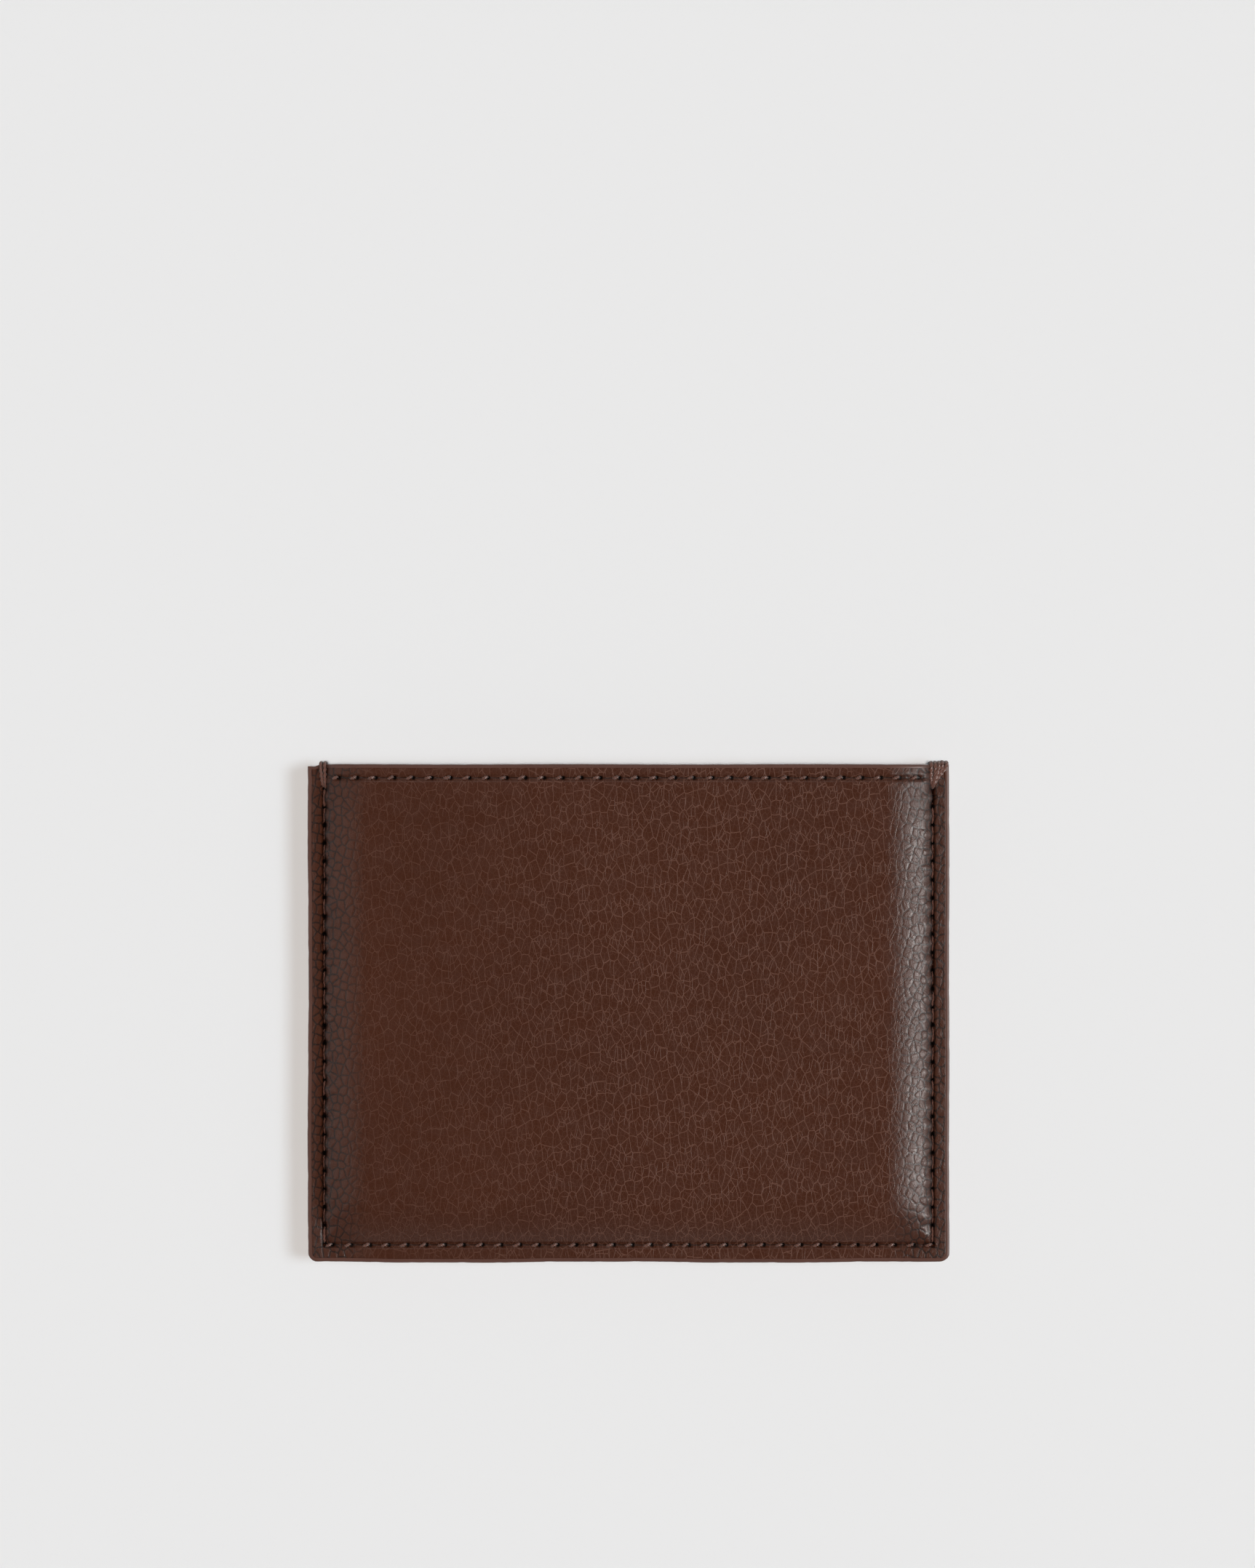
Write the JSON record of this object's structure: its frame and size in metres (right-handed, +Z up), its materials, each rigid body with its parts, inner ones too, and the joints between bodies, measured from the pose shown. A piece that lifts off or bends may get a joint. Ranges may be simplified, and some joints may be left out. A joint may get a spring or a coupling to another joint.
{
  "type": "card wallet",
  "caption": "Slim flat leather wallet, sewn on three sides and open at the top, with a note pocket and stepped card slots under a plain pebbled back.",
  "frame": {"origin": "on the resting surface, under the middle of the wallet's bounding box", "axes": "+Z up through the plain back panel; +Y out of the open mouth; +X to the right, along the mouth, seen from above with the mouth away from the viewer"},
  "size_m": [0.102, 0.0799, 0.0106],
  "materials": {
    "leather": "pebble grain, satin",
    "lining": "fine twill, matt",
    "leather_filler": "skived, matt",
    "edge_paint": "burnished and painted edge, satin",
    "thread": "waxed twisted thread"
  },
  "bodies": {
    "root": {"back_panel": "leather", "back_lining": "lining", "front_lining": "lining", "front_panel": "leather", "upper_slot_panel": "leather", "lower_slot_panel": "leather", "filler_left": "leather_filler", "filler_right": "leather_filler", "filler_bottom": "leather_filler", "edge_paint_seam": "edge_paint", "edge_paint_back_mouth": "edge_paint", "edge_paint_front_mouth": "edge_paint", "edge_paint_upper_slot": "edge_paint", "edge_paint_lower_slot": "edge_paint", "seam_thread_back": "thread", "seam_thread_front": "thread", "back_mouth_thread": "thread", "front_mouth_thread": "thread", "upper_slot_thread": "thread", "tack_left_1": "thread", "tack_left_2": "thread", "tack_right_1": "thread", "tack_right_2": "thread", "tack_right_3": "thread"}
  },
  "joints": []
}
